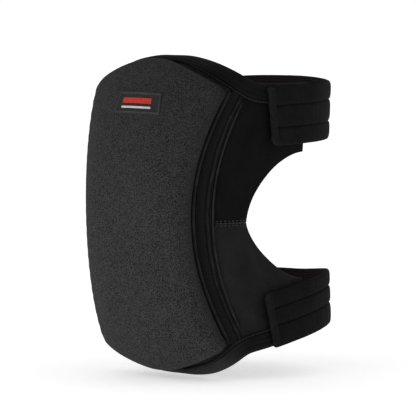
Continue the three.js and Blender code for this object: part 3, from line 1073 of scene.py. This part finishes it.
def cushion_sheet():
    deg, z = cover_places()
    crown = share_of_crown(deg, z)
    full_height = cushion_height(deg, z, 0, HEM_FLAT)
    lift = np.stack([0 * z, 0 * z, overhang(deg, z)], -1)
    start = on_leg(deg, z, full_height - SLACK * smoothstep(crown, 0.0, 0.6)) + lift
    pinned = np.select([crown < share for share, _ in SEWN_STEPS], [weight for _, weight in SEWN_STEPS], 0.0)
    sheet = on_leg(deg, z, full_height) + lift
    sheet = held_out(sheet, swollen(start, pinned), crown)
    sheet = pressed_flat(smoothed(sheet, 3))
    side = (seam_angle(z) - np.abs(deg)) * DEGREE_MM
    near = np.exp(-((side - 4) / PUCKER_REACH) ** 2)
    wander = 0.7 * np.sin(z / 23) + 0.4 * np.sin(z / 9.1)
    pucker = PUCKER * near * np.sin(2 * math.pi * z / PUCKER_PITCH + wander) * smoothstep(crown, 0.05, 0.5)
    return sheet + grid_normals(sheet) * pucker[..., None]


def refine(piece):
    """One round of subdivision, applied."""
    modifier = piece.modifiers.new("Subdivision", "SUBSURF")
    modifier.levels = 1
    shape = piece.evaluated_get(bpy.context.evaluated_depsgraph_get())
    mesh = bpy.data.meshes.new_from_object(shape)
    piece.modifiers.clear()
    piece.data = mesh
    return piece


def on_pad(piece, slot, *nodes):
    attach(piece, "pad")
    if nodes:
        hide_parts(*nodes)
    return piece


def make_cushion():
    outer = cushion_sheet()
    inner = outer - grid_normals(outer) * COVER
    cloth = cloth_grid(outer)
    cloth -= cloth[-1, -1] / 2
    look = cover_look(*cloth[-1, -1])
    cover = refine(pillow("cushion_cover", outer, inner, cloth, look))
    on_pad(cover, "front_cover", "front_cover")
    return cover


def core_patch(u, v):
    """The part of the cushion's patch that holds the foams."""
    across, along = CORE_INSET
    return cushion_patch(crowded(lerp(across, 1 - across, u)), crowded(lerp(along, 1 - along, v)))


def core_top(deg, z):
    return cushion_height(deg, z, COVER, HEM_FLAT - COVER) - GAP - CORE_SLACK


def quilted(deg, z):
    return QUILT_DEPTH * (np.abs(np.sin(z * math.pi / QUILT_PITCH)) ** 0.5 - 1)


def make_inside():
    size = (105, 185)
    core = panel("core_foam", core_patch, COMFORT_TOP + GAP, core_top, size, 3, CORE_FOAM, step=4)
    on_pad(core, "foam_core", "foam_core")
    soft = panel("knee_foam", core_patch, LINING + 2 * GAP, COMFORT_TOP, size, 2.4, SOFT_FOAM, step=4)
    on_pad(soft, "comfort_foam", "comfort_foam")
    lining = panel("lining_panel", cushion_patch, quilted, LINING, (140, 230), 0.6, LINING_KNIT, step=3)
    on_pad(lining, "lining", "inner_lining")


# ---------------------------------------------------------------- wings, tape, piping and darts

DART_PINCH = 1.3
DART_REACH = 7
TACK_HALF = 4.2
TACK_INSET = 2.2  # degrees in from the notch
TACK_SPACING = 1.2
TAPE_RIDGE = 0.78  # places across the tape, from 0 at its front edge to 1
TAPE_FOLDS = (0.62, 0.94)


def wing_surface(deg, z, bottom, top):
    """Neoprene that dips towards the dart and swells a little between its seams."""
    dart = np.exp(-((z - DART_HEIGHT) / DART_REACH) ** 2)
    wave = 0.35 * np.sin(deg / 9 + 0.8) * np.sin(z / 17) + 0.2 * np.sin(deg / 4.3) * np.sin(z / 8.7 + 1)
    free = smoothstep(np.abs(deg), seam_angle(z) + 9, seam_angle(z) + 20)
    swell = free * wave - DART_PINCH * dart * smoothstep(-np.abs(deg), -CUTOUT_START - 6, -CUTOUT_START + 8)
    return bottom + np.minimum(swell, 0.0), top + swell


def make_wings():
    for side, mirror in (("right", False), ("left", True)):
        for level, patch, look, size in (
            ("upper", upper_wing, NEOPRENE_UP_SHADED, (78, 86)),
            ("lower", lower_wing, NEOPRENE_LOW_LIT, (78, 74)),
        ):
            name = f"{side}_wing_{level}"
            piece = panel(f"{name}_panel", patch, 0, WING, size, 1.8, look, 1.8, mirror, wing_surface)
            on_pad(piece, "neoprene", name)


def tape_top(deg, z):
    """The seam tape's outer face, with a ridge and two folds along it."""
    share = (np.abs(deg) - seam_angle(z) - TAPE_START) / (TAPE_END - TAPE_START)
    share = share + 0.025 * np.sin(z / 9) + 0.015 * np.sin(z / 3.7)
    ridge = np.exp(-((share - TAPE_RIDGE) / 0.07) ** 2)
    folds = sum(np.exp(-((share - place) / 0.05) ** 2) for place in TAPE_FOLDS)
    crinkle = 0.12 * np.sin(z / 2.9 + 5 * share) * np.sin(z / 7.7)
    return WING + GAP + TAPE + 0.1 + 0.75 * ridge - folds + crinkle


def tape_stitch_run(line, mirror):
    frames = line_frames(line, 240, mirror)
    return on_leg(frames.deg, frames.z, tape_top(frames.deg, frames.z)), frames.out


def make_seams():
    strip = seam_strip(TAPE_START, TAPE_END)
    for side, sign in (("right", 1), ("left", -1)):
        tape = panel(f"{side}_seam_tape_strip", strip, WING + GAP, tape_top, (8.2, 205), 0.5,
                     SEAM_TAPE, 0.6, sign < 0)
        on_pad(tape, "tape", f"{side}_seam_tape")
        for place, behind, radius, offset in (
            ("front", PIPING_LINE, 1.1, WING + 1.75),
            ("rear", REAR_PIPING_LINE, 0.65, WING + GAP + 0.7),
        ):
            line = seam_line(behind, 1.5)
            piece = cord(f"{side}_{place}_piping_cord", line, radius, offset, PIPING, 220, sign, dip=1.8)
            on_pad(piece, "piping", f"{side}_{place}_piping")
        places = [lerp(TAPE_START, TAPE_END, share) for share in (0.16, 0.55)]
        runs = [tape_stitch_run(seam_line(behind, 2), sign) for behind in places]
        on_pad(stitches(f"{side}_seam_stitching", runs, THREAD), "thread")


def dart_line(t):
    start = float(seam_angle(DART_HEIGHT)) + REAR_PIPING_LINE + 1
    return lerp(start, CUTOUT_START - 0.6, t), DART_HEIGHT + 0 * t


def make_darts():
    """The flat seam that closes each dart, with three rows of stitches and a bar tack at its end."""
    top = WING + 0.15
    for side, sign in (("right", 1), ("left", -1)):
        sunk = top - DART_PINCH * 0.6
        welt = cord(f"{side}_dart_welt", dart_line, 0.75, sunk, NEOPRENE_LOW_LIT, 40, sign, sides=12)
        on_pad(welt, "thread", f"{side}_dart_seam")
        frames = line_frames(dart_line, 60, sign)
        places = ((-1.7, top - 0.75), (1.7, top - 0.75), (0, top - 0.1))
        rows = [(on_line(frames, shift, height), frames.out) for shift, height in places]
        sewn = stitches(f"{side}_dart_stitching", rows, DART_THREAD, length=2.2, gap=1.0, radius=0.36)
        on_pad(sewn, "thread")
        bars = []
        z = np.linspace(DART_HEIGHT - TACK_HALF, DART_HEIGHT + TACK_HALF, 8)
        for shift in (-TACK_SPACING, 0, TACK_SPACING):
            deg = sign * (CUTOUT_START - TACK_INSET + shift) + 0 * z
            bars.append((on_leg(deg, z, WING - 0.2), tangents(deg, z)[2]))
        tack = stitches(f"{side}_bar_tack", bars, DART_THREAD, length=3.6, gap=0.3, radius=0.22)
        on_pad(tack, "thread")


# ---------------------------------------------------------------- folded edge bindings

HEM_LOW = -HEM_GAP  # the fold's two faces, against the wing's
HEM_HIGH = WING + HEM_GAP
HEM_RIDGES = 0.22
HEM_GROOVE = 0.6
HEM_WAVER = 0.18


def fold_section(width):
    """A folded tape's section as (inset, offset): outer leg, round the edge, inner leg, and back inside."""
    middle, half = (HEM_LOW + HEM_HIGH) / 2, (HEM_HIGH - HEM_LOW) / 2
    centre = half - HEM_GAP
    reach = half + TAPE
    places = np.linspace(width, centre, 26)
    share = (width - places) / (width - centre)
    crown = np.sin(math.pi * share)
    lift = 0.35 * crown + HEM_RIDGES * crown**0.5 * np.cos(6 * math.pi * share)
    groove = HEM_GROOVE * np.exp(-((width - places - 1.7) / 0.55) ** 2)
    lip = 0.5 * TAPE * np.exp(-((width - places) / 0.25) ** 2)
    outer = np.stack([places, middle + reach + lift - groove - lip], -1)

    def leg(start, end, count, offset):
        return np.stack([np.linspace(start, end, count), np.full(count, offset)], -1)

    def bend(start, end, count, radius):
        turn = np.linspace(start, end, count)[1:-1]
        return np.stack([centre + radius * np.cos(turn), middle + radius * np.sin(turn)], -1)

    edge = bend(math.pi / 2, 3 * math.pi / 2, 11, reach)
    inner = leg(centre, width, 7, middle - reach)
    back_low = leg(width, centre, 5, middle - half)
    hollow = bend(3 * math.pi / 2, math.pi / 2, 7, half)
    back_high = leg(centre, width, 5, middle + half)
    return np.concatenate([outer, edge, inner, back_low, hollow, back_high])


def hem_tape(name, line, material):
    """A folded tape swept round an edge of the pad, and the frames along that edge."""
    frames = line_frames(line, 301)
    along = arc_lengths(leg_point(frames.deg, frames.z))
    along -= along[-1] / 2
    sections = np.stack([fold_section(width) for width in hem_width(frames.deg)])
    sections[..., 1] += (HEM_WAVER * np.sin(along / 6.1) * np.sin(along / 15.7))[:, None]
    rings = np.stack([on_line(frames, *sections[:, j].T) for j in range(sections.shape[1])], 1)
    return tube(name, rings, along, arc_lengths(sections[0]), material), frames


def make_bindings():
    for level, edge, turn, look in (("top", top_edge, -1, TOP_HEM), ("bottom", bottom_edge, 1, BOTTOM_HEM_LIT)):
        def line(t, edge=edge, turn=turn):
            deg = turn * lerp(-WING_END, WING_END, t)
            return deg, edge(deg)

        piece, frames = hem_tape(f"{level}_binding_tape", line, look)
        on_pad(piece, "tape", f"{level}_binding")
        run = (on_line(frames, hem_width(frames.deg) - 0.9, HEM_HIGH + TAPE - 0.05), frames.out)
        name = f"{level}_binding_stitching"
        on_pad(stitches(name, [run], PALE_THREAD, length=2.6, gap=0.25, radius=0.3, sink=0.2), "thread")


# ---------------------------------------------------------------- straps

RIB_PUFF = 0.8625  # how far a rib's crown stands over its edges
RIB_FULLNESS = 3.2
GROOVE_WIDTH = 0.035
GROOVE_DEPTH = 0.9
BAND_STEP = 0.8  # degrees
BAND_EDGE = 1.4
BAND_SLACK = 0.12  # how far each face lies inside the strap's CAD thickness
HOLLOW_START = (104, 132)  # where a strap bulges away from the leg, behind the right wing, and comes back
HOLLOW_END = (170, 215)
TIP = STRAP_END - BINDING_DEGREES
TIP_DEGREE_MM = 1.25


def strap_inside(strap, deg):
    around = full(deg)
    inside_face = lerp(STRAP_INSIDE_RIGHT, STRAP_INSIDE_LEFT, smoothstep(around, PEEL_LINE, SWING_LINE))
    away = smoothstep(around, *HOLLOW_START) * (1 - smoothstep(around, *HOLLOW_END))
    return inside_face + strap["bulge"] * away


def slanted(strap, deg, across):
    share = np.clip((PEEL_LINE - deg) / (PEEL_LINE - STRAP_END), 0, 1)
    return deg - strap["slant"] * across * share


def strap_place(strap, deg, across):
    """The (degrees, height) of a place on a strap, whose free end slants and has rounded corners."""
    inward = (deg - TIP) * TIP_DEGREE_MM
    radius = np.where(across > 0, *strap["corners"])
    corner = radius * (1 - np.sqrt(np.maximum(1 - (1 - np.clip(inward / radius, 0, 1)) ** 2, 0)))
    return slanted(strap, deg, across), strap_height(strap, deg) + across * (strap["half"] - corner)


def rib_drop(strap, across):
    """How far the outer face lies below the ribs' crowns."""
    bounds = np.array([-1.0, *strap["grooves"], 1.0])
    rib = np.clip(np.searchsorted(bounds, across) - 1, 0, 2)
    low, high = bounds[rib], bounds[rib + 1]
    off_crown = np.abs(2 * (across - low) / (high - low) - 1)
    groove = sum(np.exp(-((across - place) / GROOVE_WIDTH) ** 2) for place in strap["grooves"])
    return RIB_PUFF * off_crown**RIB_FULLNESS + GROOVE_DEPTH * groove


def strap_shares(strap):
    """Places across a strap, close together at its edges and grooves."""
    edges = rounded_places(2 * strap["half"], BAND_EDGE, 1.2) * 2 - 1
    near = np.array([-1.6, -0.8, -0.35, 0, 0.35, 0.8, 1.6]) * GROOVE_WIDTH
    extra = np.concatenate([groove + near for groove in strap["grooves"]])
    places = np.sort(np.concatenate([edges, extra]))
    return places[np.append(True, np.diff(places) > 0.004)]


def strap_tube(name, strap, degs, section, material):
    """A closed tube along a strap. section gives its shift in degrees, outer offset and inner offset."""
    shares = strap_shares(strap)
    fullness = edge_round((shares + 1) / 2, 2 * strap["half"], BAND_EDGE)
    rings = []
    for deg in degs:
        shift, top, low = section(deg, shares, fullness)
        d, z = strap_place(strap, deg, shares)
        outer, inner = on_leg(d + shift, z, top), on_leg(d + shift, z, low)
        rings.append(np.concatenate([outer, inner[1:-1][::-1]]))
    rings = np.array(rings)[:, ::-1]
    along = arc_lengths(rings[:, len(shares) // 2])
    return tube(name, rings, along, arc_lengths(rings[0]), material)


def elastic_band(name, strap, start, end):
    """A stretch of ribbed elastic, with its inner face in the grid knit."""
    half = STRAP / 2 - BAND_SLACK
    degs = np.linspace(start, end, int(round((end - start) / BAND_STEP)) + 1)

    def section(deg, shares, fullness):
        middle = strap_inside(strap, deg) + BAND_SLACK + half
        ripple = 0.10 * np.sin(deg * 1.9 + 3 * shares) * np.sin(deg * 0.37)
        drop = np.minimum(rib_drop(strap, shares), half * 1.3)
        return 0, middle + (half - drop + ripple) * fullness, middle - half * fullness

    piece = strap_tube(name, strap, degs, section, ELASTIC)
    piece.data.materials.append(ELASTIC_INSIDE)
    across = len(strap_shares(strap))
    columns = np.tile(np.arange(2 * across - 2), len(degs) - 1)
    inner_face = np.append(columns < across - 3, [False, False])
    piece.data.polygons.foreach_set("material_index", inner_face.astype(np.int32))
    return piece


def hinge(deg, strap, reach):
    """Two points across a strap's fold line, before and after it."""
    degs = np.array([deg - reach, deg + reach])
    return [tuple(point) for point in to_frame(on_leg(degs, strap_height(strap, degs), 8.0))]


def end_binding(name, strap):
    """The folded tape over a strap's free end: a cap that follows its rounded corners."""
    last = BINDING_DEGREES
    turned_end = [0.0, 0.05, 0.2, 0.45, 0.8]
    degs = TIP + np.array([*turned_end, *np.linspace(1.2, last - 0.5, 6), last - 0.25, last - 0.08, last])
    low, high = HOOK_TOP + 0.1, STRAP_INSIDE_RIGHT + STRAP + 0.1

    def section(deg, shares, fullness):
        waver = 0.16 * np.sin(shares * 9 + 1) + 0.08 * np.sin(shares * 23)
        into = (deg - TIP) * TIP_DEGREE_MM
        lip = (TIP + last - deg) * TIP_DEGREE_MM
        thin = math.sqrt(max(1 - (1 - min(into / 1.7, 1)) ** 2, 0.01))
        face = high - 0.5 * math.exp(-((lip / 0.35) ** 2)) - 0.35 * math.exp(-(((into - 3.1) / 0.35) ** 2))
        middle, half = (low + face) / 2, (face - low) / 2
        drop = 0.45 * np.minimum(rib_drop(strap, shares), 1.2)
        ridge = 0.16 * np.sin(shares * 24) * np.sin(into * 1.5)
        shift = waver * (TIP + last - deg) / last
        return shift, middle + (half - drop + ridge) * fullness * thin, middle - half * fullness * thin

    return strap_tube(name, strap, degs, section, END_TAPE)


def patch_panel(name, strap, start, low, high, material):
    bottom, top = strap["patch"]

    def place(u, v):
        deg, across = lerp(start, PATCH_END, u), lerp(bottom, top, v)
        return slanted(strap, deg, across), strap_height(strap, deg) + across * strap["half"]

    size = ((PATCH_END - start) * TIP_DEGREE_MM, (top - bottom) * strap["half"])
    return panel(name, place, low, high, size, 0.5, material, 1.5)


def make_strap(level, strap):
    pad, swing, end = "pad", f"{level}_strap", f"{level}_end"
    peel_start, peel_end = hinge(PEEL_LINE, strap, 3.5)
    swing_end, swing_start = hinge(SWING_LINE, strap, 9)

    back = elastic_band(f"{level}_strap_back", strap, REAR, ROOT_END)
    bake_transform(back)
    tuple(swing_start)
    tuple(swing_end)
    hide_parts(f"{level}_strap_root", f"{level}_strap")

    front = elastic_band(f"{level}_strap_front", strap, STRAP_END - 0.1, REAR)
    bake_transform(front)
    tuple(peel_end)
    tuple(peel_start)
    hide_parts(f"{level}_strap_end")

    cap = end_binding(f"{level}_end_binding_tape", strap)
    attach(cap, end)
    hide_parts(f"{level}_end_binding")

    hook = patch_panel(f"{level}_hook_pad", strap, STRAP_END + 0.4, PATCH_TOP + GAP, HOOK_TOP, HOOK)
    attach(hook, end)
    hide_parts(f"{level}_hook_patch")

    loop = patch_panel(f"{level}_loop_pad", strap, STRAP_END + 1.5, WING + GAP, PATCH_TOP, LOOP)
    on_pad(loop, "loop", f"{level}_loop_patch")


# ---------------------------------------------------------------- the label

LABEL_BORDER = 1.5
LABEL_ROUNDING = 0.6
LABEL_DEGREE_MM = 1.75
LABEL_LIFT = 0.25
STRIPE_ROUNDING = 0.3
STRIPE_HALF_DEGREES = 11.5
STRIPE_MIDDLE = LABEL_MIDDLE - 0.6


def surface_finder(piece):
    """A function that gives the points a lift above a piece's outer face."""
    mesh = piece.data
    tree = BVHTree.FromPolygons([v.co for v in mesh.vertices], [list(p.vertices) for p in mesh.polygons])

    def find(deg, z, lift):
        far = on_leg(deg, z, 60 + 0 * deg)
        out = tangents(deg, z)[2]
        found = np.zeros(far.shape)
        for k in np.ndindex(deg.shape):
            origin = Vector(to_frame(far[k]))
            hit = tree.ray_cast(origin, Vector(-out[k]))[0]
            found[k] = np.array(hit) * 1000 - AXIS
        return found + out * np.asarray(lift, float)[..., None]

    return find


def make_label(cushion):
    """A woven patch with a raised border and two plain stripes."""
    find = surface_finder(cushion)
    width, height = 2 * LABEL_HALF_DEGREES * LABEL_DEGREE_MM, 2 * LABEL_HALF_HEIGHT
    u = rounded_places(width, LABEL_ROUNDING, 0.8)
    v = rounded_places(height, LABEL_ROUNDING, 0.6)
    grid_u, grid_v = np.meshgrid(u, v)
    deg = LABEL_MIDDLE + (2 * grid_u - 1) * LABEL_HALF_DEGREES
    z = LABEL_HEIGHT + (2 * grid_v - 1) * LABEL_HALF_HEIGHT
    from_edge = np.minimum(np.minimum(grid_u, 1 - grid_u) * width, np.minimum(grid_v, 1 - grid_v) * height)
    border = np.exp(-(((from_edge - LABEL_BORDER * 0.6) / (LABEL_BORDER * 0.45)) ** 4))
    fullness = edge_round(grid_u, width, LABEL_ROUNDING) * edge_round(grid_v, height, LABEL_ROUNDING)
    outer = find(deg, z, LABEL_LIFT + (0.75 + 0.55 * border) * fullness)
    inner = find(deg, z, LABEL_LIFT - 0.2 * fullness)
    label = pillow("label_patch", outer, inner, cloth_grid(outer), LABEL)
    label.data.materials.append(LABEL_EDGE)
    at_border = (from_edge[:-1, :-1] + from_edge[1:, 1:]) / 2 < LABEL_BORDER
    marks = np.append(at_border, np.zeros(at_border.size, bool)).astype(np.int32)
    label.data.polygons.foreach_set("material_index", marks)
    on_pad(label, "label", "label")
    make_stripe(find, "label_wide_stripe", 1.2, 1.7, RED_STRIPE)
    make_stripe(find, "label_thin_stripe", -3.0, 0.65, PALE_STRIPE)


def make_stripe(find, name, above, half, look):
    """A plain woven stripe on the label, its middle some way above the label's own."""
    width, height = 2 * STRIPE_HALF_DEGREES * LABEL_DEGREE_MM, 2 * half
    u = rounded_places(width, STRIPE_ROUNDING, 0.8)
    v = rounded_places(height, STRIPE_ROUNDING, 0.4)
    grid_u, grid_v = np.meshgrid(u, v)
    deg = STRIPE_MIDDLE + (2 * grid_u - 1) * STRIPE_HALF_DEGREES
    z = LABEL_HEIGHT + above + (2 * grid_v - 1) * half
    fullness = edge_round(grid_u, width, STRIPE_ROUNDING) * edge_round(grid_v, height, STRIPE_ROUNDING)
    outer, inner = find(deg, z, 1.02 + 0.28 * fullness), find(deg, z, 0.9 + 0 * deg)
    on_pad(pillow(name, outer, inner, cloth_grid(outer), look), "label")


make_stage()
cushion = make_cushion()
make_inside()
make_wings()
make_seams()
make_darts()
make_bindings()
make_strap("upper", UPPER)
make_strap("lower", LOWER)
make_label(cushion)
